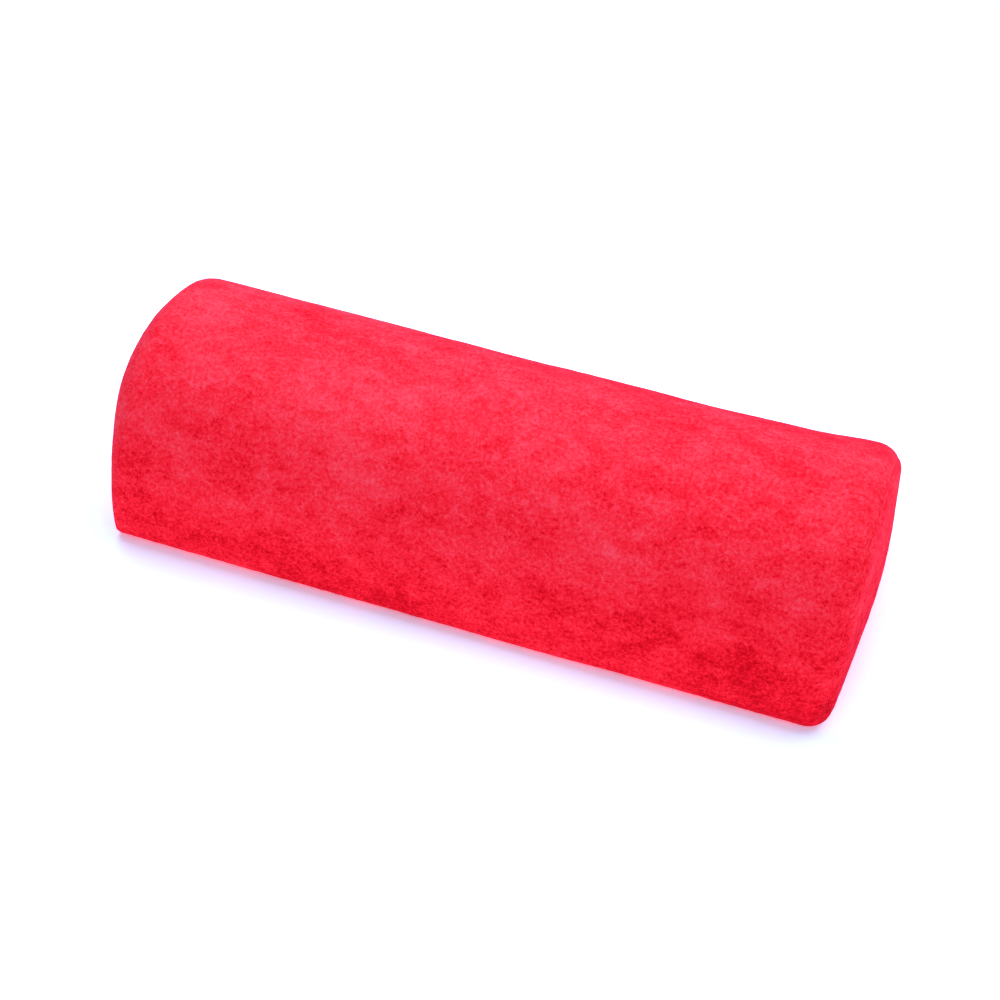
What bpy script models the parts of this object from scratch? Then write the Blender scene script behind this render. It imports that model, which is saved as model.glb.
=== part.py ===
"""Half-round manicure hand rest: a foam block in a sewn plush cover.

Metres, +Z up. X runs along the cushion, and the origin is the middle of its flat base.
"""

import math

import bmesh
import bpy

MM = 0.001

# Overall size, over the cover
CUSHION_LENGTH = 300.0 * MM
CUSHION_WIDTH = 115.0 * MM
CUSHION_HEIGHT = 73.5 * MM

# Form of the arch: 2 gives a half ellipse, more gives fuller shoulders
ARCH_POWER = 2.15
BASE_EDGE_RADIUS = 5.0 * MM
SMALLEST_EDGE_RADIUS = 0.8 * MM

# The cloth pulls the top of the body in between its two fuller ends
END_FLARE = 0.8 * MM
END_FLARE_LENGTH = 24.0 * MM
MIDDLE_SAG = 0.8 * MM

# Soft rounded ends
END_ROLL_RADIUS = 10.0 * MM
END_ROLL_ANGLE = math.radians(80.0)
END_DOME = 4.0 * MM
END_DOME_CENTRE_HEIGHT = 30.0 * MM

# Cover cloth and its end seams
CLOTH_THICKNESS = 2.5 * MM
SEAM_ANGLE = math.radians(50.0)
SEAM_ALLOWANCE = 3.5 * MM
SEAM_EDGE_ROUND = 1.2 * MM
FIT_CLEARANCE = 0.3 * MM

# Closure along the middle of the base
SLIT_WIDTH = 0.6 * MM
CLOSURE_LENGTH = 250.0 * MM
UNDERLAP_THICKNESS = 1.5 * MM
UNDERLAP_REACH = 21.0 * MM
UNDERLAP_SLOPE = 6.0 * MM
UNDERLAP_SEWN_WIDTH = 12.0 * MM
TAPE_END_MARGIN = 5.0 * MM
TAPE_WIDTH = 16.0 * MM
TAPE_FROM_SLIT = 2.5 * MM
TAPE_CORNER_RADIUS = 2.0 * MM
LOOP_TAPE_THICKNESS = 1.5 * MM
HOOK_TAPE_THICKNESS = 1.2 * MM

# How finely the curved surfaces are faceted
ARCH_STEPS = 16
CORNER_STEPS = 3
BASE_STEPS = 3
ROLL_STEPS = 5
PANEL_ROLL_STEPS = 3
FLARE_STEPS = 3
BODY_STEPS = 3
DOME_SCALES = (0.9, 0.75, 0.5, 0.25)
SEAM_ROUND_STEPS = 2

# Where the rolled ends begin, the tapes' length and the levels of the closure's layers
ROLL_CENTRE_X = CUSHION_LENGTH / 2 - END_DOME - END_ROLL_RADIUS * math.sin(END_ROLL_ANGLE)
FLARE_START_X = ROLL_CENTRE_X - END_FLARE_LENGTH
TAPE_LENGTH = CLOSURE_LENGTH - 2 * TAPE_END_MARGIN
LOOP_TAPE_LOW = CLOTH_THICKNESS + FIT_CLEARANCE
HOOK_TAPE_LOW = LOOP_TAPE_LOW + LOOP_TAPE_THICKNESS + FIT_CLEARANCE
UNDERLAP_SEWN_LOW = CLOTH_THICKNESS + FIT_CLEARANCE
UNDERLAP_FREE_LOW = HOOK_TAPE_LOW + HOOK_TAPE_THICKNESS + FIT_CLEARANCE

PLUSH_RED = (0.93, 0.028, 0.07, 1.0)
TAPE_RED = (0.55, 0.015, 0.04, 1.0)
FOAM_CREAM = (0.86, 0.83, 0.74, 1.0)


def clear_scene():
    for item in list(bpy.data.objects):
        bpy.data.objects.remove(item)


def make_material(name, colour, roughness):
    material = bpy.data.materials.new(name)
    material.use_nodes = True
    shader = material.node_tree.nodes["Principled BSDF"]
    shader.inputs["Base Color"].default_value = colour
    shader.inputs["Roughness"].default_value = roughness
    shader.inputs["Metallic"].default_value = 0.0
    return material


def make_object(name, bm, material, parent):
    """Turn a closed bmesh into a smooth-shaded object under the parent empty."""
    bmesh.ops.recalc_face_normals(bm, faces=bm.faces)
    mesh = bpy.data.meshes.new(name)
    bm.to_mesh(mesh)
    bm.free()
    mesh.shade_smooth()
    mesh.set_sharp_from_angle(angle=math.radians(35.0))
    mesh.materials.append(material)
    result = bpy.data.objects.new(name, mesh)
    result.parent = parent
    bpy.context.collection.objects.link(result)
    return result


def pull_in(x):
    """How far the top lies inside its fullest outline at a place along the length."""
    along = min(abs(x) / ROLL_CENTRE_X, 1.0)
    flare = min(max((abs(x) - FLARE_START_X) / END_FLARE_LENGTH, 0.0), 1.0)
    smooth_flare = flare * flare * (3.0 - 2.0 * flare)
    return END_FLARE * (1.0 - smooth_flare) + MIDDLE_SAG * (1.0 - along * along)


def section(x, inset, slit=0.0):
    """D-shaped outline at a place along the length, inset from the cover's surface.

    It runs from the middle of the base round the front, over the top and back to the base.
    With no slit it is a closed ring, so the shared first point is not repeated.
    """
    half_width = CUSHION_WIDTH / 2 - inset
    top = CUSHION_HEIGHT - pull_in(x) - inset
    radius = max(BASE_EDGE_RADIUS - inset, SMALLEST_EDGE_RADIUS)
    spring_height = inset + radius
    flat_end = half_width - radius
    front = []
    for step in range(BASE_STEPS):
        share = step / BASE_STEPS
        front.append((slit / 2 + (flat_end - slit / 2) * share, inset))
    for step in range(CORNER_STEPS):
        turn = math.pi / 2 * step / CORNER_STEPS
        front.append((flat_end + radius * math.sin(turn), spring_height - radius * math.cos(turn)))
    for step in range(ARCH_STEPS + 1):
        turn = math.pi / 2 * step / ARCH_STEPS
        across = max(math.cos(turn), 0.0) ** (2.0 / ARCH_POWER)
        up = math.sin(turn) ** (2.0 / ARCH_POWER)
        shoulder = half_width - pull_in(x) * up
        front.append((shoulder * across, spring_height + (top - spring_height) * up))
    front[-1] = (0.0, top)
    back = front[-2::-1]
    if slit == 0.0:
        back = back[:-1]
    return [(-y, z) for y, z in front] + back


def body_places():
    """Places along the body from the middle to where the rolled end begins."""
    places = [FLARE_START_X * step / BODY_STEPS for step in range(BODY_STEPS)]
    places += [FLARE_START_X + END_FLARE_LENGTH * step / FLARE_STEPS for step in range(FLARE_STEPS)]
    return places


def on_roll(radius, angle):
    """A point of the rolled end, as its place along the length and its inset."""
    x = ROLL_CENTRE_X + radius * math.sin(angle)
    return (x, END_ROLL_RADIUS - radius * math.cos(angle))


def by_seam(depth_radius, sideways):
    """A point given along the seam's direction and across it, from the roll's centre."""
    x = ROLL_CENTRE_X + depth_radius * math.sin(SEAM_ANGLE) + sideways * math.cos(SEAM_ANGLE)
    inset = END_ROLL_RADIUS - depth_radius * math.cos(SEAM_ANGLE) + sideways * math.sin(SEAM_ANGLE)
    return (x, inset)


def roll_arc(radius, start, end, steps):
    return [on_roll(radius, start + (end - start) * step / steps) for step in range(steps + 1)]


def turned_edge(side):
    """Cloth edge at the seam: rounded over, then turned in. Side is -1 for the wrap, 1 for a panel.

    Returns the angle where the outer surface stops, the points round the edge, and the angle
    where the inner surface starts again.
    """
    face = FIT_CLEARANCE / 2
    centre_side = face + SEAM_EDGE_ROUND
    centre_depth = math.sqrt((END_ROLL_RADIUS - SEAM_EDGE_ROUND) ** 2 - centre_side ** 2)
    lean = math.atan2(centre_side, centre_depth)
    edge = []
    for step in range(1, SEAM_ROUND_STEPS + 1):
        turn = -lean + (math.pi / 2 + lean) * step / SEAM_ROUND_STEPS
        sideways = centre_side - SEAM_EDGE_ROUND * math.sin(turn)
        edge.append(by_seam(centre_depth + SEAM_EDGE_ROUND * math.cos(turn), side * sideways))
    tip_depth = END_ROLL_RADIUS - CLOTH_THICKNESS - SEAM_ALLOWANCE
    inner_side = face + CLOTH_THICKNESS
    inner_radius = END_ROLL_RADIUS - CLOTH_THICKNESS
    inner_depth = math.sqrt(inner_radius ** 2 - inner_side ** 2)
    edge.append(by_seam(tip_depth, side * face))
    edge.append(by_seam(tip_depth, side * inner_side))
    inner_angle = SEAM_ANGLE + side * math.atan2(inner_side, inner_depth)
    return SEAM_ANGLE + side * lean, edge, inner_angle


def mirrored(half):
    """A closed profile from its right half, which starts and ends in the middle."""
    return half + [(-x, inset) for x, inset in reversed(half) if x > 0.0]


def wrap_profile():
    """Outline of the wrap's cloth cut along its length, as places and insets."""
    outer_angle, edge, inner_angle = turned_edge(-1)
    outer = [(x, 0.0) for x in body_places()]
    outer += roll_arc(END_ROLL_RADIUS, 0.0, outer_angle, ROLL_STEPS)
    inner = roll_arc(END_ROLL_RADIUS - CLOTH_THICKNESS, inner_angle, 0.0, 2)
    inner += [(x, CLOTH_THICKNESS) for x in reversed(body_places())]
    return mirrored(outer + edge + inner)


def build_wrap(material, parent):
    """Sweep the cloth's profile round the section, from one side of the slit to the other."""
    bm = bmesh.new()
    rails = []
    for x, inset in wrap_profile():
        rails.append([bm.verts.new((x, y, z)) for y, z in section(x, inset, SLIT_WIDTH)])
    for rail, following in zip(rails, rails[1:] + rails[:1]):
        for step in range(len(rail) - 1):
            bm.faces.new((rail[step], rail[step + 1], following[step + 1], following[step]))
    bm.faces.new([rail[0] for rail in rails])
    bm.faces.new([rail[-1] for rail in rails])
    return make_object("cover_wrap", bm, material, parent)


def close_rings(first_tip, rings, last_tip):
    """A solid skin over a row of rings, drawn to a point at both ends."""
    bm = bmesh.new()
    loops = [[bm.verts.new(point) for point in ring] for ring in rings]
    for loop, following in zip(loops, loops[1:]):
        for step in range(len(loop)):
            after = (step + 1) % len(loop)
            bm.faces.new((loop[step], loop[after], following[after], following[step]))
    for loop, tip in ((loops[0], first_tip), (loops[-1], last_tip)):
        tip_vertex = bm.verts.new(tip)
        for step in range(len(loop)):
            bm.faces.new((loop[step], loop[(step + 1) % len(loop)], tip_vertex))
    return bm


def ring_at(x, inset):
    return [(x, y, z) for y, z in section(x, inset)]


def dome(roll_radius):
    """Rings of a domed end from its rim towards its middle, and the point at its middle.

    The rings grow rounder on their way in, so that no crease runs in from the base's corners.
    """
    rim_x, rim_inset = on_roll(roll_radius, END_ROLL_ANGLE)
    middle_z = END_DOME_CENTRE_HEIGHT
    rings = []
    for scale in DOME_SCALES:
        x = rim_x + END_DOME * (1.0 - scale * scale)
        ring = []
        for y, z in section(rim_x, rim_inset):
            reach = math.hypot(y, z - middle_z)
            shrink = scale * (scale + (1.0 - scale) * middle_z / reach)
            ring.append((x, y * shrink, middle_z + (z - middle_z) * shrink))
        rings.append(ring)
    return rings, (rim_x + END_DOME, 0.0, middle_z)


def end_panel(name, side, material, parent):
    """D-shaped end cloth with its domed face, rolled rim and turned-in edge."""
    outer_angle, edge, inner_angle = turned_edge(1)
    inner_radius = END_ROLL_RADIUS - CLOTH_THICKNESS
    outer_dome, outer_tip = dome(END_ROLL_RADIUS)
    inner_dome, inner_tip = dome(inner_radius)
    points = roll_arc(END_ROLL_RADIUS, END_ROLL_ANGLE, outer_angle, PANEL_ROLL_STEPS)
    points += edge
    points += roll_arc(inner_radius, inner_angle, END_ROLL_ANGLE, 1)
    rings = outer_dome[::-1] + [ring_at(x, inset) for x, inset in points] + inner_dome
    panel = close_rings(outer_tip, rings, inner_tip)
    bmesh.ops.scale(panel, verts=panel.verts, vec=(side, 1.0, 1.0))
    return make_object(name, panel, material, parent)


def foam_end_points():
    """Foam surface at one end: it rolls over, with a groove where the turned seam edges press."""
    roll_radius = END_ROLL_RADIUS - CLOTH_THICKNESS - FIT_CLEARANCE
    groove_side = CLOTH_THICKNESS + 1.5 * FIT_CLEARANCE
    groove_depth = END_ROLL_RADIUS - CLOTH_THICKNESS - SEAM_ALLOWANCE - FIT_CLEARANCE
    lean = math.asin(groove_side / roll_radius)
    points = roll_arc(roll_radius, 0.0, SEAM_ANGLE - lean, 2)
    points += [by_seam(groove_depth, -groove_side), by_seam(groove_depth, groove_side)]
    points += roll_arc(roll_radius, SEAM_ANGLE + lean, END_ROLL_ANGLE, 1)
    return points


def closure_profile(spare):
    """Section of the underlap cloth, grown by a spare space on all sides and down to the base."""
    free_low = UNDERLAP_FREE_LOW - spare
    sewn_low = UNDERLAP_SEWN_LOW - spare
    height = UNDERLAP_THICKNESS + 2 * spare
    slope_start = -SLIT_WIDTH / 2
    slope_end = slope_start + UNDERLAP_SLOPE
    far_end = slope_end + UNDERLAP_SEWN_WIDTH + spare
    free_end = -UNDERLAP_REACH - spare
    lower = [(free_end, free_low), (slope_start, free_low), (slope_end, sewn_low), (far_end, sewn_low)]
    return lower, [(y, z + height) for y, z in reversed(lower)]


def extrude_profile(profile, length):
    """A prism along X from a profile across it."""
    bm = bmesh.new()
    near = bm.faces.new([bm.verts.new((-length / 2, y, z)) for y, z in profile])
    grown = bmesh.ops.extrude_face_region(bm, geom=[near])
    moved = [item for item in grown["geom"] if isinstance(item, bmesh.types.BMVert)]
    bmesh.ops.translate(bm, verts=moved, vec=(length, 0.0, 0.0))
    return bm


def build_underlap(material, parent):
    lower, upper = closure_profile(0.0)
    return make_object("closure_underlap", extrude_profile(lower + upper, CLOSURE_LENGTH), material, parent)


def closure_cutter(parent):
    """The space that the closure takes from the foam's base."""
    upper = closure_profile(FIT_CLEARANCE)[1]
    far_end = upper[0][0]
    free_end = upper[-1][0]
    profile = [(free_end, -FIT_CLEARANCE), (far_end, -FIT_CLEARANCE)] + upper
    length = CLOSURE_LENGTH + 2 * FIT_CLEARANCE
    cutter = make_object("closure_space", extrude_profile(profile, length), None, parent)
    cutter.display_type = "WIRE"
    cutter.hide_render = True
    return cutter


def build_foam(material, parent):
    """Foam block, with the closure's space cut from its base."""
    foam_inset = CLOTH_THICKNESS + FIT_CLEARANCE
    end_dome, tip = dome(END_ROLL_RADIUS - foam_inset)
    half = [ring_at(x, foam_inset) for x in body_places()]
    half += [ring_at(x, inset) for x, inset in foam_end_points()]
    half += end_dome
    other = [[(-x, y, z) for x, y, z in ring] for ring in half[:0:-1]]
    other_tip = (-tip[0], tip[1], tip[2])
    foam = make_object("foam_core", close_rings(other_tip, other + half, tip), material, parent)
    recess = foam.modifiers.new("closure_space", "BOOLEAN")
    recess.operation = "DIFFERENCE"
    recess.solver = "EXACT"
    recess.object = closure_cutter(parent)
    return foam


def build_tape(name, low, thickness, material, parent):
    """One half of the hook-and-loop tape, with rounded corners, beside the slit."""
    centre_y = -SLIT_WIDTH / 2 - TAPE_FROM_SLIT - TAPE_WIDTH / 2
    bm = bmesh.new()
    bmesh.ops.create_cube(bm, size=1.0)
    bmesh.ops.scale(bm, verts=bm.verts, vec=(TAPE_LENGTH, TAPE_WIDTH, thickness))
    upright = [edge for edge in bm.edges if abs(edge.verts[0].co.z - edge.verts[1].co.z) > thickness / 2]
    bmesh.ops.bevel(bm, geom=upright, offset=TAPE_CORNER_RADIUS, segments=3, profile=0.5, affect="EDGES")
    tape = make_object(name, bm, material, parent)
    tape.location = (0.0, centre_y, low + thickness / 2)
    return tape


def main():
    clear_scene()
    base = bpy.data.objects.new("hand_rest", None)
    bpy.context.collection.objects.link(base)
    plush = make_material("red_plush", PLUSH_RED, 1.0)
    tape = make_material("red_nylon_tape", TAPE_RED, 0.8)
    foam = make_material("cream_foam", FOAM_CREAM, 0.95)
    build_foam(foam, base)
    build_wrap(plush, base)
    end_panel("left_end_panel", -1, plush, base)
    end_panel("right_end_panel", 1, plush, base)
    build_underlap(plush, base)
    build_tape("loop_strip", LOOP_TAPE_LOW, LOOP_TAPE_THICKNESS, tape, base)
    build_tape("hook_strip", HOOK_TAPE_LOW, HOOK_TAPE_THICKNESS, tape, base)


main()
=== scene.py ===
import math

import bmesh
import bpy
import numpy as np
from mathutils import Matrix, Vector


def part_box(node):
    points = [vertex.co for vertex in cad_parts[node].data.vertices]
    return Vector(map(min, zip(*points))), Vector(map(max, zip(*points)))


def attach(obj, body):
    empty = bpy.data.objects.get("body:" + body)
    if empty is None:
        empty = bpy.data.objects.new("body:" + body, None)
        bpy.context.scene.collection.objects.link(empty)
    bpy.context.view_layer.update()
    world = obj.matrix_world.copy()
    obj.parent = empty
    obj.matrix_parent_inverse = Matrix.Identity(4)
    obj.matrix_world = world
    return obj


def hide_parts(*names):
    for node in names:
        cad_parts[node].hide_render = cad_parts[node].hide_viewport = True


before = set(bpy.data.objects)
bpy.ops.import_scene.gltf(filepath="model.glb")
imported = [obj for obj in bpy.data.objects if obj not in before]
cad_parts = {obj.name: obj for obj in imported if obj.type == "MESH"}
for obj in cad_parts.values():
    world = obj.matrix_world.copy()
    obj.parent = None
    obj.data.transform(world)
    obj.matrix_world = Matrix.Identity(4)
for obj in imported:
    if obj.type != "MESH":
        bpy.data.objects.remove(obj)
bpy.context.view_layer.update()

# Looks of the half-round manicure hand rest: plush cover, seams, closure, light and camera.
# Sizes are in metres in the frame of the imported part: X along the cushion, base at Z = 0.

MM = 0.001

# Overall form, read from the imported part
HALF_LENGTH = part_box("right_end_panel")[1].x
HALF_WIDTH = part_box("cover_wrap")[1].y
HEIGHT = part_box("cover_wrap")[1].z

# Form that the part's boxes don't give
ARCH_POWER = 2.15
BASE_EDGE_RADIUS = 4.5 * MM
SMALLEST_EDGE_RADIUS = 0.8 * MM
LEFT_FLARE = 0.1 * MM
RIGHT_FLARE = 1.4 * MM
END_FLARE_LENGTH = 26.0 * MM
MIDDLE_SAG = 0.8 * MM
END_ROLL_RADIUS = 10.0 * MM
# The lower front corner at the left is pulled sharp
SHARP_ROLL_RADIUS = 3.0 * MM
SHARP_ROLL_REACH = 45.0 * MM
END_ROLL_ANGLE = math.radians(80.0)
END_DOME = 4.0 * MM
# The rim of each end: how far out it lies, and where its bulge stands, as a share of the arch
LEFT_RIM_SHIFT = -1.6 * MM
LEFT_RIM_BULGE = 2.9 * MM
LEFT_BULGE_MIDDLE = 0.33
RIGHT_RIM_SHIFT = 0.0 * MM
RIGHT_RIM_BULGE = 1.0 * MM
RIGHT_BULGE_MIDDLE = 0.62
RIM_BULGE_REACH = 0.33
DOME_MIDDLE_HEIGHT = 30.0 * MM
CLOTH_THICKNESS = 2.5 * MM
SEAM_ANGLE = math.radians(50.0)
SEAM_GAP = 0.05 * MM
SEAM_EDGE_ROUND = 0.3 * MM
# Where the roll is sharp, the turned edge ends at this share of its radius
LEAST_TIP_DEPTH = 0.3
SLIT_WIDTH = 0.6 * MM
SLIT_EDGE_ROUND = 1.0 * MM
# The soft crease along the crest and the hump behind it, at the upper left corner
CREASE_START = (-136.0 * MM, -1.0 * MM)
CREASE_END = (-106.0 * MM, 11.0 * MM)
CREASE_DEPTH = 1.3 * MM
CREASE_HALF_WIDTH = 3.0 * MM
CREASE_FADE_IN = 0.25
HUMP_PLACE = (-129.0 * MM, 26.0 * MM, 66.0 * MM)
HUMP_HEIGHT = 1.0 * MM
HUMP_REACH = 12.0 * MM
# The cloth's relief: pitch, seed and height of each layer of noise
RELIEF_LAYERS = (
    (34.0 * MM, 3, 0.30 * MM),
    (13.0 * MM, 5, 0.12 * MM),
    (4.5 * MM, 7, 0.05 * MM),
    (2.2 * MM, 11, 0.06 * MM),
)

# Zones round the section, from one side of the slit in the base to the other
FRONT_LIP, FRONT_BASE, FRONT_EDGE, ARCH, BACK_EDGE, BACK_BASE, BACK_LIP = range(7)

# Mesh fineness, in cells
LIP_CELLS = 4
WRAP_BASE_CELLS = 16
PANEL_BASE_CELLS = 24
EDGE_CELLS = 8
WRAP_ARCH_CELLS = 220
PANEL_ARCH_CELLS = 176
BODY_CELLS = 290
ROLL_CELLS = 12
SEAM_ROUND_CELLS = 4
DOME_CELLS = 58
TURNED_ROWS = SEAM_ROUND_CELLS + 1
# Outer cells to one cell of the lining
COARSENING = 4
# Cells over which the relief fades in from a seam, from the slit and from the tip of a dome
SEAM_FADE_CELLS = 4.0
SLIT_FADE_CELLS = 3.0
TIP_FADE_CELLS = 10.0

# Whole numbers that scramble the lattice noise
AXIS_FACTORS = (73856093, 19349663, 83492791)
SEED_FACTOR = 40503
MIXING_FACTORS = (0x85EBCA6B, 0xC2B2AE35)
LOW_32_BITS = 0xFFFFFFFF

# The plush: the pitch of each layer of its tone, and the layer's weight
BLOTCH_PITCH, BLOTCH_WEIGHT = 26.0 * MM, 0.68
PATCH_PITCH, PATCH_WEIGHT = 7.0 * MM, 0.66
GRAIN_PITCHES, GRAIN_WEIGHT = (1.3 * MM, 1.5 * MM), 1.32
FIBRE_PITCH, FIBRE_WEIGHT = 0.4 * MM, 0.44
# Blotches and patches are longer along the cushion than across it
BLOTCH_STRETCH = (0.75, 1.1, 1.1)
# How the tone changes over the cushion, as painted shade and a painted highlight: darker towards the
# base and the right end, paler along the crest. Axis, where the change starts and ends, and how much it
# is
PAINTED_SHADE_AND_HIGHLIGHT = (
    # painted shade: darker from 62 mm down to the base
    ("Z", 62.0 * MM, 0.0, -0.33),
    # painted highlight: paler along the crest, from 64 mm up to 74 mm
    ("Z", 64.0 * MM, 74.0 * MM, 0.07),
    # painted shade: darker from 30 mm out to the right end
    ("X", 30.0 * MM, 145.0 * MM, -0.08),
)
TONE_SHIFT = 0.02
# Tones and their colours, from the deepest red to the palest, in linear values
PLUSH_COLOURS = (
    (0.06, (0.52, 0.0018, 0.0100)),
    (0.19, (0.65, 0.0038, 0.0165)),
    (0.31, (0.78, 0.0080, 0.0265)),
    (0.42, (0.85, 0.0142, 0.0380)),
    (0.57, (0.87, 0.0263, 0.0580)),
    (0.79, (0.87, 0.0530, 0.1020)),
    (0.90, (0.87, 0.0700, 0.1330)),
)
SHEEN_ROUGHNESS = 0.36
SHEEN_TINT = (0.5, 0.22, 0.55, 1.0)
WRAP_SHEEN = 0.24
END_SHEEN = 0.14
PILE_BUMP = 0.45 * MM

# The camera's place, as a fit to the photograph's outline gave it
CAMERA_AZIMUTH = math.radians(19.306)
CAMERA_ELEVATION = math.radians(47.922)
CAMERA_DISTANCE = 756.4 * MM
CAMERA_LENS_MM = 70.13
AIM_RIGHT = -1.3 * MM
AIM_UP = -13.4 * MM
CAMERA_PIVOT_HEIGHT = 35.0 * MM

# Name, place, width, height and watts of each lamp, and where they aim
LAMPS = (
    ("key", (0.0, 0.20, 0.50), 1.0, 0.45, 3.9),
    ("fill", (-0.10, -1.10, 0.22), 0.6, 0.6, 4.3),
    ("side", (1.05, -0.35, 0.40), 0.6, 0.6, 2.5),
)
LAMP_AIM = (0.0, 0.0, 0.03)
WORLD_STRENGTH = 0.32

FLOOR_HALF_SIZE = 3.0
FLOOR_DROP = 0.2 * MM
FLOOR_COLOUR = (0.8, 0.8, 0.8, 1.0)
# Light that the floor adds for all but camera rays
FLOOR_FILL = 0.78
# The floor's colour for camera rays, over 1 so that the lit ground is white
FLOOR_SEEN = (1.07, 1.45, 2.0, 1.0)
# From this far out to twice as far, the floor that the camera sees goes over to plain white
SHADOW_REACH = 0.25


def lattice_noise(points, pitch, seed):
    """Smooth noise from -1 to 1 at points, with bumps about one pitch apart."""
    place = np.asarray(points) / pitch
    cell = np.floor(place)
    share = place - cell
    share = share * share * share * (share * (share * 6.0 - 15.0) + 10.0)
    cell = cell.astype(np.int64).astype(np.uint64)
    low_bits = np.uint64(LOW_32_BITS)
    total = np.zeros(place.shape[:-1])
    for corner in range(8):
        offset = [(corner >> axis) & 1 for axis in range(3)]
        spot = cell + np.array(offset, dtype=np.uint64)
        mixed = np.full(total.shape, seed * SEED_FACTOR, dtype=np.uint64)
        for axis, factor in enumerate(AXIS_FACTORS):
            mixed ^= spot[..., axis] * np.uint64(factor)
        mixed &= low_bits
        for factor in MIXING_FACTORS:
            mixed = ((mixed ^ (mixed >> np.uint64(15))) * np.uint64(factor)) & low_bits
        mixed ^= mixed >> np.uint64(13)
        value = mixed.astype(float) / LOW_32_BITS * 2.0 - 1.0
        weight = np.ones(total.shape)
        for axis in range(3):
            along = share[..., axis]
            weight = weight * (along if offset[axis] else 1.0 - along)
        total += value * weight
    return total


def smooth_step(value):
    value = np.clip(value, 0.0, 1.0)
    return value * value * (3.0 - 2.0 * value)


def pull_in(x):
    """How far the top lies inside its fullest outline at a place along the length."""
    roll_centre = HALF_LENGTH - END_DOME - END_ROLL_RADIUS * math.sin(END_ROLL_ANGLE)
    along = np.minimum(np.abs(x) / roll_centre, 1.0)
    end = smooth_step((np.abs(x) - roll_centre + END_FLARE_LENGTH) / END_FLARE_LENGTH)
    flare = LEFT_FLARE + (RIGHT_FLARE - LEFT_FLARE) * smooth_step((x / roll_centre + 1.0) / 2)
    return flare * (1.0 - end) + MIDDLE_SAG * (1.0 - along * along)


def round_places(cells_by_zone, closed):
    """Samples round the section, as arrays of zones and of shares of the way through them."""
    zones = []
    shares = []
    for zone, cells in cells_by_zone:
        zones += [zone] * cells
        shares += [cell / cells for cell in range(cells)]
    if not closed:
        zones.append(cells_by_zone[-1][0])
        shares.append(1.0)
    return np.array(zones), np.array(shares)


def section_points(x, inset, zones, shares, slit, slit_round):
    """Y and Z of the D-shaped section, for arrays of places, insets and samples round it.

    The lips of the slit turn up into the base. Their first sample is the inner edge of the cloth.
    """
    mirror = np.where(zones > ARCH, 1.0, -1.0)
    toward_edge = np.where(zones > ARCH, 1.0 - shares, shares)
    pull = pull_in(x)
    half_width = HALF_WIDTH - inset
    top = HEIGHT - pull - inset
    radius = np.maximum(BASE_EDGE_RADIUS - inset, SMALLEST_EDGE_RADIUS)
    spring = inset + radius
    flat_end = half_width - radius
    lip_turn = np.clip((toward_edge * LIP_CELLS - 1.0) / (LIP_CELLS - 1.0), 0.0, 1.0) * math.pi / 2
    lip_y = slit / 2 + slit_round * (1.0 - np.cos(lip_turn))
    lip_z = inset + slit_round * (1.0 - np.sin(lip_turn))
    lip_z = np.where(toward_edge == 0.0, inset + CLOTH_THICKNESS, lip_z)
    base_start = slit / 2 + slit_round
    base_y = base_start + (flat_end - base_start) * toward_edge
    edge_turn = toward_edge * math.pi / 2
    edge_y = flat_end + radius * np.sin(edge_turn)
    edge_z = spring - radius * np.cos(edge_turn)
    arch_turn = shares * math.pi
    across = -np.sign(np.cos(arch_turn)) * np.abs(np.cos(arch_turn)) ** (2.0 / ARCH_POWER)
    up = np.abs(np.sin(arch_turn)) ** (2.0 / ARCH_POWER)
    lip = (zones == FRONT_LIP) | (zones == BACK_LIP)
    base = (zones == FRONT_BASE) | (zones == BACK_BASE)
    edge = (zones == FRONT_EDGE) | (zones == BACK_EDGE)
    y = np.select([lip, base, edge], [mirror * lip_y, mirror * base_y, mirror * edge_y],
                  (half_width - pull * up) * across)
    z = np.select([lip, base, edge], [lip_z, inset + 0.0 * shares, edge_z], spring + (top - spring) * up)
    return y, z


def roll_radii(side, zones, shares):
    """Radius of the rolled end at each sample round the section.

    The lower front corner at the left is pulled sharp by the cover; elsewhere the roll is full.
    """
    radii = np.full(zones.shape, END_ROLL_RADIUS)
    if side > 0:
        return radii
    arch_length = math.pi * (HALF_WIDTH + HEIGHT) / 2
    out_of_reach = 2.0 * arch_length
    from_corner = np.select(
        [zones == FRONT_LIP, zones == FRONT_BASE, zones == FRONT_EDGE, zones == ARCH],
        [HALF_WIDTH, HALF_WIDTH * (1.0 - shares), 0.0 * shares, arch_length * shares],
        out_of_reach,
    )
    return radii + (SHARP_ROLL_RADIUS - radii) * (1.0 - smooth_step(from_corner / SHARP_ROLL_REACH))


def rim_shift(side, zones, shares):
    """How far out the end's rim lies at each sample round the section, past an even rim."""
    shift, bulge, middle = (
        (LEFT_RIM_SHIFT, LEFT_RIM_BULGE, LEFT_BULGE_MIDDLE) if side < 0
        else (RIGHT_RIM_SHIFT, RIGHT_RIM_BULGE, RIGHT_BULGE_MIDDLE)
    )
    round_arch = np.select([zones < ARCH, zones == ARCH], [0.0 * shares, shares], 1.0)
    reach = np.clip((round_arch - middle) / RIM_BULGE_REACH, -1.0, 1.0)
    return shift + bulge * (1.0 + np.cos(math.pi * reach)) / 2


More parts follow.
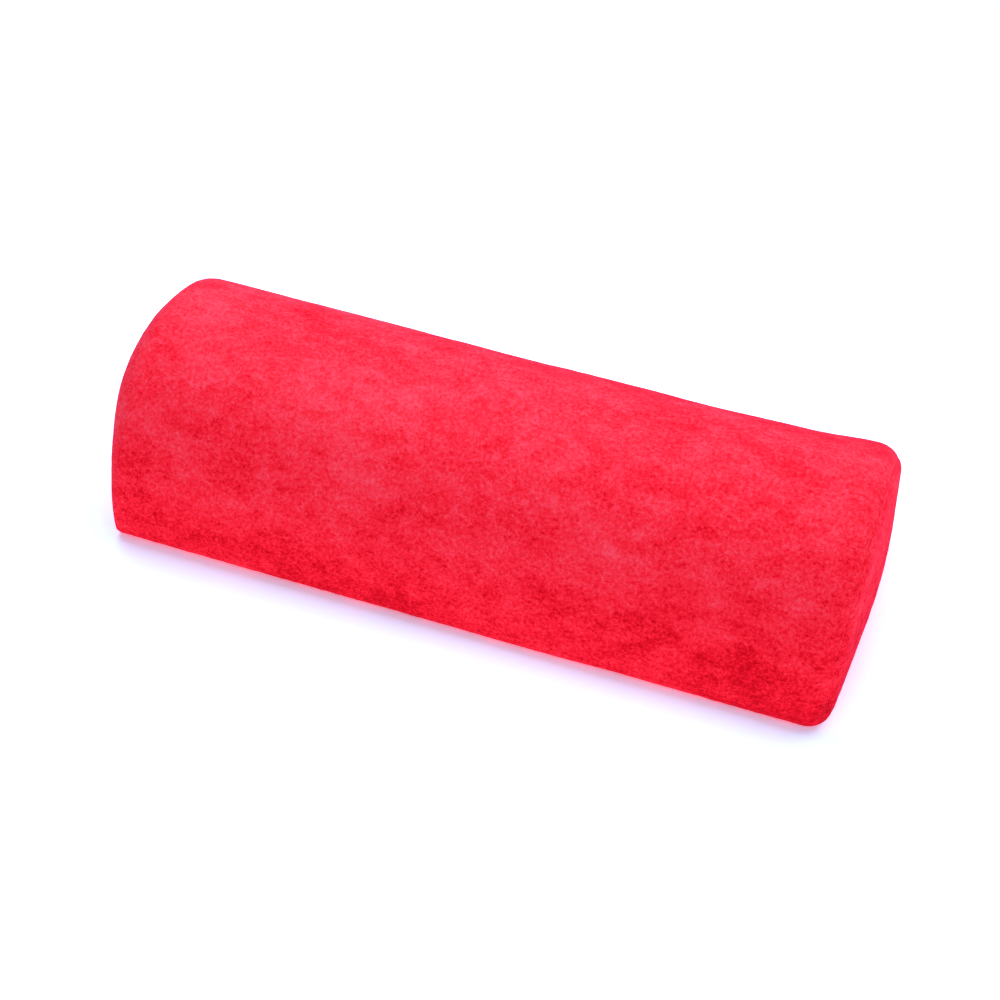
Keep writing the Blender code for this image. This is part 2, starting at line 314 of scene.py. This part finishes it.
class End:
    """The rolled end of the cushion on one side, as places and insets of its cloth's surface."""

    def __init__(self, side, zones, shares):
        self.side = side
        self.radius = roll_radii(side, zones, shares)
        self.centre = HALF_LENGTH - END_DOME - self.radius * math.sin(END_ROLL_ANGLE)
        self.centre = self.centre + rim_shift(side, zones, shares)
        self.face = SEAM_GAP / 2
        self.round_side = self.face + SEAM_EDGE_ROUND
        self.round_depth = np.sqrt((self.radius - SEAM_EDGE_ROUND) ** 2 - self.round_side ** 2)
        self.lean = np.arctan2(self.round_side, self.round_depth)

    def polar(self, angle):
        x = self.centre + self.radius * np.sin(angle)
        return self.side * x, self.radius * (1.0 - np.cos(angle))

    def by_seam(self, depth, sideways):
        x = self.centre + depth * math.sin(SEAM_ANGLE) + sideways * math.cos(SEAM_ANGLE)
        inset = self.radius - depth * math.cos(SEAM_ANGLE) + sideways * math.sin(SEAM_ANGLE)
        return self.side * x, inset

    def turned_edge(self, direction):
        """The cloth's edge from its outer surface in to its tip, on one side of the seam."""
        points = []
        for step in range(1, SEAM_ROUND_CELLS + 1):
            turn = -self.lean + (math.pi / 2 + self.lean) * step / SEAM_ROUND_CELLS
            sideways = self.round_side - SEAM_EDGE_ROUND * np.sin(turn)
            depth = self.round_depth + SEAM_EDGE_ROUND * np.cos(turn)
            points.append(self.by_seam(depth, direction * sideways))
        tip_depth = np.maximum(self.radius - CLOTH_THICKNESS, LEAST_TIP_DEPTH * self.radius)
        points.append(self.by_seam(tip_depth, direction * self.face))
        return points

    def wrap_rows(self):
        """From the roll's start to the tip of the wrap's turned edge."""
        rows = []
        for cell in range(1, ROLL_CELLS + 1):
            rows.append(self.polar((SEAM_ANGLE - self.lean) * cell / ROLL_CELLS))
        return rows + self.turned_edge(-1.0)

    def panel_rows(self):
        """From the tip of the panel's turned edge to the rim of its dome."""
        rows = self.turned_edge(1.0)[::-1]
        start = SEAM_ANGLE + self.lean
        for cell in range(ROLL_CELLS + 1):
            rows.append(self.polar(start + (END_ROLL_ANGLE - start) * cell / ROLL_CELLS))
        return rows


def grid_normals(points, closed):
    """Outward normals of a grid of points, with rows along X and columns round the section."""
    if closed:
        wide = np.concatenate([points[:, -1:], points, points[:, :1]], axis=1)
        around = wide[:, 2:] - wide[:, :-2]
    else:
        around = np.gradient(points, axis=1)
    normal = np.cross(np.gradient(points, axis=0), around)
    return normal / np.maximum(np.linalg.norm(normal, axis=2, keepdims=True), 1e-12)


def crease_depth(points):
    """Depth of the soft crease that runs from the upper left corner in along the crest."""
    start = np.array(CREASE_START)
    along = np.array(CREASE_END) - start
    flat = points[..., :2] - start
    share = np.clip((flat @ along) / (along @ along), 0.0, 1.0)
    away = np.linalg.norm(flat - share[..., None] * along, axis=-1)
    crest = smooth_step((points[..., 2] - HEIGHT / 2) / (HEIGHT / 4))
    fade = smooth_step(share / CREASE_FADE_IN) * (1.0 - share * share / 2)
    return CREASE_DEPTH * np.exp(-(away / CREASE_HALF_WIDTH) ** 2) * crest * fade


def hump_height(points):
    """Height of the slack cloth's hump behind the crest, at the upper left corner."""
    away = np.linalg.norm(points - np.array(HUMP_PLACE), axis=-1)
    return HUMP_HEIGHT * np.exp(-(away / HUMP_REACH) ** 2)


def cloth_relief(points):
    """Height of the cloth's soft mounds and of its lying pile at points."""
    relief = np.zeros(points.shape[:-1])
    for pitch, seed, height in RELIEF_LAYERS:
        relief += lattice_noise(points, pitch, seed) * height
    return relief - crease_depth(points) + hump_height(points)


def grid_faces(index, closed):
    """Quads over a grid of vertex numbers."""
    if closed:
        index = np.concatenate([index, index[:, :1]], axis=1)
    quads = np.stack([index[:-1, :-1], index[1:, :-1], index[1:, 1:], index[:-1, 1:]], axis=2)
    return quads.reshape(-1, 4).tolist()


def fan_faces(ring, tip):
    return [(ring[place - 1], ring[place], tip) for place in range(len(ring))]


def joining_faces(edge, owners):
    """Triangles from a closed chain of fine points to the coarse points that they belong to."""
    faces = []
    for place in range(len(edge)):
        before = place - 1
        faces.append((edge[before], edge[place], owners[before]))
        if owners[before] != owners[place]:
            faces.append((edge[place], owners[place], owners[before]))
    return faces


def new_mesh_object(name, vertices, faces):
    mesh = bpy.data.meshes.new(name)
    mesh.from_pydata(vertices.tolist(), [], faces)
    bm = bmesh.new()
    bm.from_mesh(mesh)
    bmesh.ops.recalc_face_normals(bm, faces=bm.faces)
    bm.to_mesh(mesh)
    bm.free()
    mesh.shade_smooth()
    result = bpy.data.objects.new(name, mesh)
    bpy.context.scene.collection.objects.link(result)
    return result


def lined_cloth(name, points, tip=None):
    """A closed cloth: a fine outer skin, with a coarser lining joined to its turned edges.

    Without a tip the grid has four edges. With one it is a cap whose first row is its edge, and
    whose last row closes on the tip.
    """
    closed = tip is not None
    rows, columns = points.shape[:2]
    normals = grid_normals(points, closed)
    row_ends = rows - 1 if closed else rows - COARSENING
    column_ends = columns if closed else columns - COARSENING
    first_column = 0 if closed else COARSENING
    lining = points - normals * CLOTH_THICKNESS
    lining = lining[COARSENING:row_ends:COARSENING, first_column:column_ends:COARSENING]
    outer = np.arange(rows * columns).reshape(rows, columns)
    inner = outer.size + np.arange(lining.shape[0] * lining.shape[1]).reshape(lining.shape[:2])
    vertices = [points.reshape(-1, 3), lining.reshape(-1, 3)]
    faces = grid_faces(outer, closed) + grid_faces(inner, closed)

    def owner(row, column):
        inner_row = min(max(round(row / COARSENING) - 1, 0), inner.shape[0] - 1)
        inner_column = round(column / COARSENING)
        if closed:
            inner_column %= inner.shape[1]
        else:
            inner_column = min(max(inner_column - 1, 0), inner.shape[1] - 1)
        return int(inner[inner_row, inner_column])

    chain = [(0, column) for column in range(columns)]
    if closed:
        tip_number = outer.size + inner.size
        inward = np.array([math.copysign(CLOTH_THICKNESS, tip[0]), 0.0, 0.0])
        vertices.append(np.array([tip, tip - inward]))
        faces += fan_faces(outer[-1].tolist(), tip_number)
        faces += fan_faces(inner[-1].tolist(), tip_number + 1)
    else:
        chain += [(row, columns - 1) for row in range(1, rows)]
        chain += [(rows - 1, column) for column in range(columns - 2, -1, -1)]
        chain += [(row, 0) for row in range(rows - 2, 0, -1)]
    edge = [int(outer[place]) for place in chain]
    faces += joining_faces(edge, [owner(*place) for place in chain])
    return new_mesh_object(name, np.concatenate(vertices), faces)


def dress(points, closed, fade):
    """The points moved out by the cloth's relief, where the fade lets them, and kept off the floor."""
    normals = grid_normals(points, closed)
    points = points + normals * (cloth_relief(points) * fade)[..., None]
    points[..., 2] = np.maximum(points[..., 2], 0.0)
    return points


def build_wrap():
    """The plush cloth over the arch, round both long edges and in to the slit of the base."""
    cells = [
        (FRONT_LIP, LIP_CELLS), (FRONT_BASE, WRAP_BASE_CELLS), (FRONT_EDGE, EDGE_CELLS),
        (ARCH, WRAP_ARCH_CELLS),
        (BACK_EDGE, EDGE_CELLS), (BACK_BASE, WRAP_BASE_CELLS), (BACK_LIP, LIP_CELLS),
    ]
    zones, shares = round_places(cells, closed=False)
    left = End(-1.0, zones, shares)
    right = End(1.0, zones, shares)
    rows = left.wrap_rows()[::-1]
    for cell in range(BODY_CELLS + 1):
        share = cell / BODY_CELLS
        rows.append((-left.centre + (right.centre + left.centre) * share, np.zeros(zones.shape)))
    rows += right.wrap_rows()
    x = np.array([row[0] for row in rows])
    inset = np.array([row[1] for row in rows])
    y, z = section_points(x, inset, zones, shares, SLIT_WIDTH, SLIT_EDGE_ROUND)
    points = np.stack([x, y, z], axis=2)
    row_number = np.arange(len(rows))
    from_end = np.minimum(row_number, row_number[::-1])
    column_number = np.arange(zones.size)
    from_slit = np.minimum(column_number, column_number[::-1])
    end_fade = smooth_step((from_end - TURNED_ROWS) / SEAM_FADE_CELLS)
    slit_fade = smooth_step((from_slit - LIP_CELLS) / SLIT_FADE_CELLS)
    fade = end_fade[:, None] * slit_fade
    return lined_cloth("plush_wrap", dress(points, False, fade))


def build_end(name, side):
    """The D-shaped end cloth, from its turned edge at the seam over its domed face."""
    cells = [
        (FRONT_BASE, PANEL_BASE_CELLS), (FRONT_EDGE, EDGE_CELLS), (ARCH, PANEL_ARCH_CELLS),
        (BACK_EDGE, EDGE_CELLS), (BACK_BASE, PANEL_BASE_CELLS),
    ]
    zones, shares = round_places(cells, closed=True)
    rows = End(side, zones, shares).panel_rows()
    x = np.array([row[0] for row in rows])
    inset = np.array([row[1] for row in rows])
    y, z = section_points(x, inset, zones, shares, 0.0, 0.0)
    rim = np.stack([x, y, z], axis=2)
    rim_x, rim_y, rim_rise = x[-1], y[-1], z[-1] - DOME_MIDDLE_HEIGHT
    reach = np.hypot(rim_y, rim_rise)
    dome = []
    for cell in range(1, DOME_CELLS):
        scale = 1.0 - cell / DOME_CELLS
        shrink = scale * (scale + (1.0 - scale) * DOME_MIDDLE_HEIGHT / reach)
        dome_x = rim_x + (side * HALF_LENGTH - rim_x) * (1.0 - scale * scale)
        dome_z = DOME_MIDDLE_HEIGHT + rim_rise * shrink
        dome.append(np.stack([dome_x, rim_y * shrink, dome_z], axis=1))
    points = np.concatenate([rim, np.array(dome)])
    row_number = np.arange(len(points))
    fade = smooth_step((row_number - TURNED_ROWS) / SEAM_FADE_CELLS)
    fade = fade * smooth_step((len(points) - row_number) / TIP_FADE_CELLS)
    if side < 0:
        points = points[:, ::-1]
    points = dress(points, True, fade[:, None])
    return lined_cloth(name, points, np.array([side * HALF_LENGTH, 0.0, DOME_MIDDLE_HEIGHT]))


class Shader:
    """A material with a Principled shader, and helpers that add nodes to it.

    All its noise lies in object coordinates, in metres.
    """

    def __init__(self, name):
        self.material = bpy.data.materials.new(name)
        self.material.use_nodes = True
        self.tree = self.material.node_tree
        self.principled = self.tree.nodes["Principled BSDF"]
        self.place = self.tree.nodes.new("ShaderNodeTexCoord").outputs["Object"]

    def set(self, **values):
        for name, value in values.items():
            self.principled.inputs[name.replace("_", " ")].default_value = value

    def link(self, source, target):
        self.tree.links.new(source, target)

    def noise(self, pitch, detail, roughness, stretch=(1.0, 1.0, 1.0), offset=0.0):
        mapping = self.tree.nodes.new("ShaderNodeMapping")
        mapping.inputs["Scale"].default_value = stretch
        mapping.inputs["Location"].default_value = (offset, offset, offset)
        self.link(self.place, mapping.inputs["Vector"])
        node = self.tree.nodes.new("ShaderNodeTexNoise")
        node.inputs["Scale"].default_value = 1.0 / pitch
        node.inputs["Detail"].default_value = detail
        node.inputs["Roughness"].default_value = roughness
        self.link(mapping.outputs["Vector"], node.inputs["Vector"])
        return node.outputs["Fac"]

    def combined(self, operation, first, second):
        """Two values put together by a math operation, where the second may be a plain number."""
        node = self.tree.nodes.new("ShaderNodeMath")
        node.operation = operation
        self.link(first, node.inputs[0])
        if isinstance(second, float):
            node.inputs[1].default_value = second
        else:
            self.link(second, node.inputs[1])
        return node.outputs[0]

    def mixed(self, parts):
        """0.5 plus a weighted sum of how far each value is from 0.5."""
        total = None
        for value, weight in parts:
            scaled = self.tree.nodes.new("ShaderNodeMath")
            scaled.operation = "MULTIPLY_ADD"
            self.link(value, scaled.inputs[0])
            scaled.inputs[1].default_value = weight
            if total is None:
                scaled.inputs[2].default_value = 0.5 - 0.5 * sum(part[1] for part in parts)
            else:
                self.link(total, scaled.inputs[2])
            total = scaled.outputs[0]
        return total

    def changing(self, value, axis, start, end, most):
        """The value plus an amount that grows along an axis, from none at the start to its most."""
        parts = self.tree.nodes.new("ShaderNodeSeparateXYZ")
        self.link(self.place, parts.inputs[0])
        growth = self.tree.nodes.new("ShaderNodeMapRange")
        growth.inputs["From Min"].default_value = start
        growth.inputs["From Max"].default_value = end
        growth.inputs["To Min"].default_value = 0.0
        growth.inputs["To Max"].default_value = most
        self.link(parts.outputs[axis], growth.inputs["Value"])
        return self.combined("ADD", value, growth.outputs["Result"])

    def ramp(self, value, stops):
        node = self.tree.nodes.new("ShaderNodeValToRGB")
        points = node.color_ramp.elements
        while len(points) < len(stops):
            points.new(0.5)
        for point, (position, colour) in zip(points, stops):
            point.position = position
            point.color = (*colour, 1.0)
        self.link(value, node.inputs["Fac"])
        return node.outputs["Color"]

    def bump(self, parts, distance):
        node = self.tree.nodes.new("ShaderNodeBump")
        node.inputs["Strength"].default_value = 1.0
        node.inputs["Distance"].default_value = distance
        self.link(self.mixed(parts), node.inputs["Height"])
        self.link(node.outputs["Normal"], self.principled.inputs["Normal"])


def plush_material(name, stretch, sheen):
    """Red plush, whose grains and fibres are stretched as given."""
    shader = Shader(name)
    shader.set(Roughness=1.0, Sheen_Weight=sheen, Sheen_Roughness=SHEEN_ROUGHNESS,
               Sheen_Tint=SHEEN_TINT, Specular_IOR_Level=0.0)
    blotches = shader.noise(BLOTCH_PITCH, 3.0, 0.6, BLOTCH_STRETCH)
    patches = shader.noise(PATCH_PITCH, 3.0, 0.65, BLOTCH_STRETCH)
    fine_grains, coarse_grains = [
        shader.noise(pitch, 2.0, 0.6, stretch, offset)
        for pitch, offset in zip(GRAIN_PITCHES, (0.0, 5.0))
    ]
    grains = shader.combined("MAXIMUM", fine_grains, coarse_grains)
    fibres = shader.noise(FIBRE_PITCH, 1.0, 0.5, stretch)
    tone = shader.mixed([
        (blotches, BLOTCH_WEIGHT), (patches, PATCH_WEIGHT),
        (grains, GRAIN_WEIGHT), (fibres, FIBRE_WEIGHT),
    ])
    # Painted shade towards the base and the right end, and a painted highlight along the crest
    for axis, start, end, most in PAINTED_SHADE_AND_HIGHLIGHT:
        tone = shader.changing(tone, axis, start, end, most)
    tone = shader.combined("ADD", tone, TONE_SHIFT)
    shader.link(shader.ramp(tone, PLUSH_COLOURS), shader.principled.inputs["Base Color"])
    shader.bump([(grains, 1.0), (fibres, 0.5)], PILE_BUMP)
    return shader.material


def foam_material():
    shader = Shader("cream_foam")
    shader.set(Roughness=0.95)
    cells = shader.noise(1.5 * MM, 3.0, 0.6)
    colour = shader.ramp(cells, [(0.3, (0.72, 0.66, 0.52)), (0.7, (0.88, 0.84, 0.72))])
    shader.link(colour, shader.principled.inputs["Base Color"])
    shader.bump([(cells, 1.0)], 0.5 * MM)
    return shader.material


def tape_material(name, low, high, pitch):
    shader = Shader(name)
    shader.set(Roughness=0.75)
    loops = shader.noise(pitch, 2.0, 0.6)
    colour = shader.ramp(loops, [(0.3, low), (0.7, high)])
    shader.link(colour, shader.principled.inputs["Base Color"])
    shader.bump([(loops, 1.0)], 0.3 * MM)
    return shader.material


def add_lamp(name, place, width, height, watts):
    data = bpy.data.lights.new(name, "AREA")
    data.shape = "RECTANGLE"
    data.size = width
    data.size_y = height
    data.energy = watts
    light = bpy.data.objects.new(name, data)
    light.location = place
    light.rotation_mode = "QUATERNION"
    light.rotation_quaternion = (Vector(LAMP_AIM) - Vector(place)).to_track_quat("-Z", "Y")
    bpy.context.scene.collection.objects.link(light)


def add_world():
    """White for what the camera sees directly or as a gloss, and a soft even light for the rest."""
    world = bpy.data.worlds.new("white_studio")
    world.use_nodes = True
    bpy.context.scene.world = world
    nodes = world.node_tree.nodes
    links = world.node_tree.links
    background = nodes["Background"]
    path = nodes.new("ShaderNodeLightPath")
    seen = nodes.new("ShaderNodeMath")
    seen.operation = "MAXIMUM"
    links.new(path.outputs["Is Camera Ray"], seen.inputs[0])
    links.new(path.outputs["Is Glossy Ray"], seen.inputs[1])
    strength = nodes.new("ShaderNodeMapRange")
    strength.inputs["To Min"].default_value = WORLD_STRENGTH
    strength.inputs["To Max"].default_value = 1.0
    links.new(seen.outputs[0], strength.inputs["Value"])
    background.inputs["Color"].default_value = (1.0, 1.0, 1.0, 1.0)
    links.new(strength.outputs["Result"], background.inputs["Strength"])


def floor_material():
    """White paper, on which the camera sees only the deeper part of the shadow, and none far away."""
    material = bpy.data.materials.new("white_floor")
    material.use_nodes = True
    nodes = material.node_tree.nodes
    links = material.node_tree.links
    nodes.remove(nodes["Principled BSDF"])
    paper = nodes.new("ShaderNodeBsdfDiffuse")
    paper.inputs["Color"].default_value = FLOOR_COLOUR
    low_fill = nodes.new("ShaderNodeEmission")
    low_fill.inputs["Strength"].default_value = FLOOR_FILL
    lit_paper = nodes.new("ShaderNodeAddShader")
    links.new(paper.outputs[0], lit_paper.inputs[0])
    links.new(low_fill.outputs[0], lit_paper.inputs[1])
    seen_paper = nodes.new("ShaderNodeBsdfDiffuse")
    seen_paper.inputs["Color"].default_value = FLOOR_SEEN
    place = nodes.new("ShaderNodeTexCoord")
    away = nodes.new("ShaderNodeVectorMath")
    away.operation = "LENGTH"
    links.new(place.outputs["Object"], away.inputs[0])
    far = nodes.new("ShaderNodeMapRange")
    far.inputs["From Min"].default_value = SHADOW_REACH
    far.inputs["From Max"].default_value = 2.0 * SHADOW_REACH
    links.new(away.outputs["Value"], far.inputs["Value"])
    white = nodes.new("ShaderNodeEmission")
    white.inputs["Strength"].default_value = 1.0
    seen_floor = nodes.new("ShaderNodeMixShader")
    links.new(far.outputs["Result"], seen_floor.inputs["Fac"])
    links.new(seen_paper.outputs[0], seen_floor.inputs[1])
    links.new(white.outputs[0], seen_floor.inputs[2])
    path = nodes.new("ShaderNodeLightPath")
    surface = nodes.new("ShaderNodeMixShader")
    links.new(path.outputs["Is Camera Ray"], surface.inputs["Fac"])
    links.new(lit_paper.outputs[0], surface.inputs[1])
    links.new(seen_floor.outputs[0], surface.inputs[2])
    links.new(surface.outputs[0], nodes["Material Output"].inputs["Surface"])
    return material


def add_floor():
    mesh = bpy.data.meshes.new("floor")
    corners = [
        (x * FLOOR_HALF_SIZE, y * FLOOR_HALF_SIZE, 0.0) for x, y in ((-1, -1), (1, -1), (1, 1), (-1, 1))
    ]
    mesh.from_pydata(corners, [], [(0, 1, 2, 3)])
    floor = bpy.data.objects.new("floor", mesh)
    floor.location.z = -FLOOR_DROP
    bpy.context.scene.collection.objects.link(floor)
    mesh.materials.append(floor_material())


def add_camera():
    """Camera at the photograph's angle, aimed by small offsets from the middle of the part."""
    middle = Vector((0.0, 0.0, CAMERA_PIVOT_HEIGHT))
    back = Vector((
        math.sin(CAMERA_AZIMUTH) * math.cos(CAMERA_ELEVATION),
        -math.cos(CAMERA_AZIMUTH) * math.cos(CAMERA_ELEVATION),
        math.sin(CAMERA_ELEVATION),
    ))
    right = Vector((math.cos(CAMERA_AZIMUTH), math.sin(CAMERA_AZIMUTH), 0.0))
    data = bpy.data.cameras.new("camera")
    data.lens = CAMERA_LENS_MM
    data.sensor_width = 36.0
    data.clip_start = 0.01
    data.clip_end = 20.0
    camera = bpy.data.objects.new("camera", data)
    bpy.context.scene.collection.objects.link(camera)
    camera.location = middle + back * CAMERA_DISTANCE
    target = middle + right * AIM_RIGHT + back.cross(right) * AIM_UP
    camera.rotation_mode = "QUATERNION"
    camera.rotation_quaternion = (target - camera.location).to_track_quat("-Z", "Y")
    bpy.context.scene.camera = camera


def paint(item, material):
    item.data.materials.clear()
    item.data.materials.append(material)


def dress_node(name, material):
    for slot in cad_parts[name].material_slots:
        slot.material = material


def main():
    bpy.context.scene.view_settings.view_transform = "Standard"
    add_camera()
    add_world()
    add_floor()
    for lamp in LAMPS:
        add_lamp(*lamp)
    plush = plush_material("red_plush", (1.0, 1.0, 1.0), WRAP_SHEEN)
    end_plush = plush_material("red_end_plush", (1.0, 0.6, 1.0), END_SHEEN)
    pieces = [
        (build_wrap(), "cover_wrap", plush),
        (build_end("left_plush_end", -1.0), "left_end_panel", end_plush),
        (build_end("right_plush_end", 1.0), "right_end_panel", end_plush),
    ]
    for piece, node, material in pieces:
        paint(piece, material)
        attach(piece, "root")
        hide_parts(node)
    dress_node("foam_core", foam_material())
    dress_node("closure_underlap", plush)
    loops = tape_material("loop_tape", (0.42, 0.01, 0.03), (0.66, 0.03, 0.06), 0.6 * MM)
    hooks = tape_material("hook_tape", (0.30, 0.01, 0.02), (0.55, 0.02, 0.05), 0.9 * MM)
    dress_node("loop_strip", loops)
    dress_node("hook_strip", hooks)


main()
